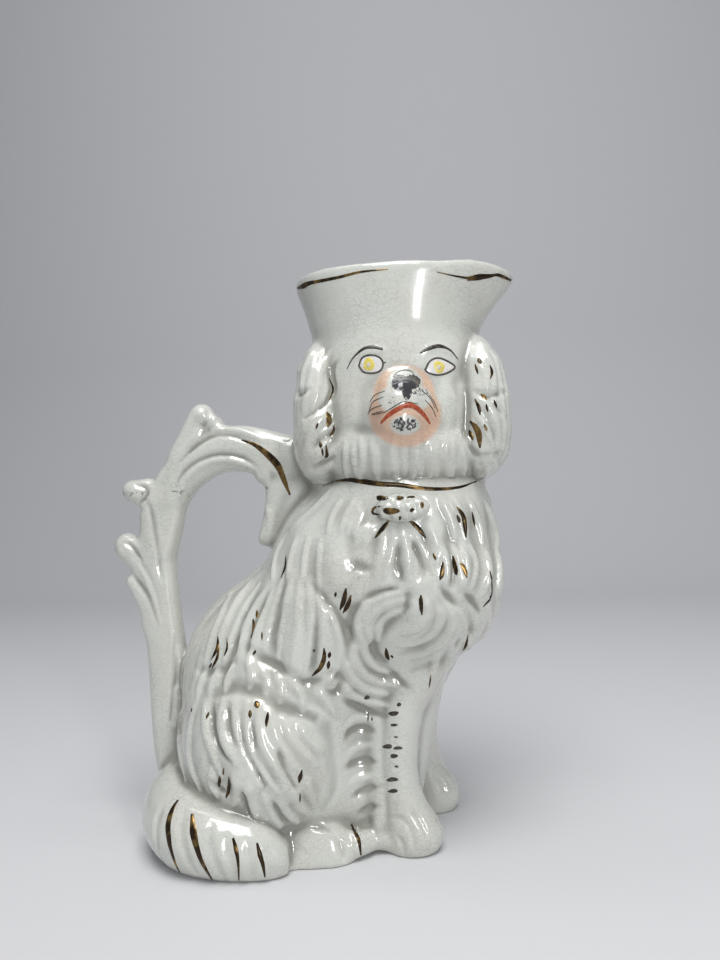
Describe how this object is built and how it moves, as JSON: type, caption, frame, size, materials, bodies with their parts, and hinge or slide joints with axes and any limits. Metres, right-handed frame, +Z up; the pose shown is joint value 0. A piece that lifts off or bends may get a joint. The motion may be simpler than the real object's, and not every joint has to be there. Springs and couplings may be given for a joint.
{
  "type": "figural pitcher",
  "caption": "Glazed earthenware pouring jug in the form of a seated spaniel, hollow, with a flared spouted mouth above the head and a scrolled leaf handle at the back.",
  "frame": {"origin": "on the table, in the middle of the flat base under the torso", "axes": "+X the pouring direction and the dog's chest, +Y the dog's left flank, +Z up; the dog's face looks along -Y"},
  "size_m": [0.1862, 0.1009, 0.2413],
  "materials": {
    "glaze": "glossy, finely crazed",
    "gilding": "worn burnished gold",
    "black_enamel": "satin",
    "coloured_enamel": "satin"
  },
  "bodies": {
    "root": {"torso_right_half": "glaze", "torso_left_half": "glaze", "base_plate": "glaze", "head_face_half": "glaze", "head_back_half": "glaze", "right_ear": "glaze", "left_ear": "glaze", "pouring_mouth": "glaze", "handle": "glaze", "right_foreleg": "glaze", "left_foreleg": "glaze", "right_hind_paw": "glaze", "left_hind_paw": "glaze", "tail": "glaze", "collar_knot": "glaze"}
  },
  "joints": []
}
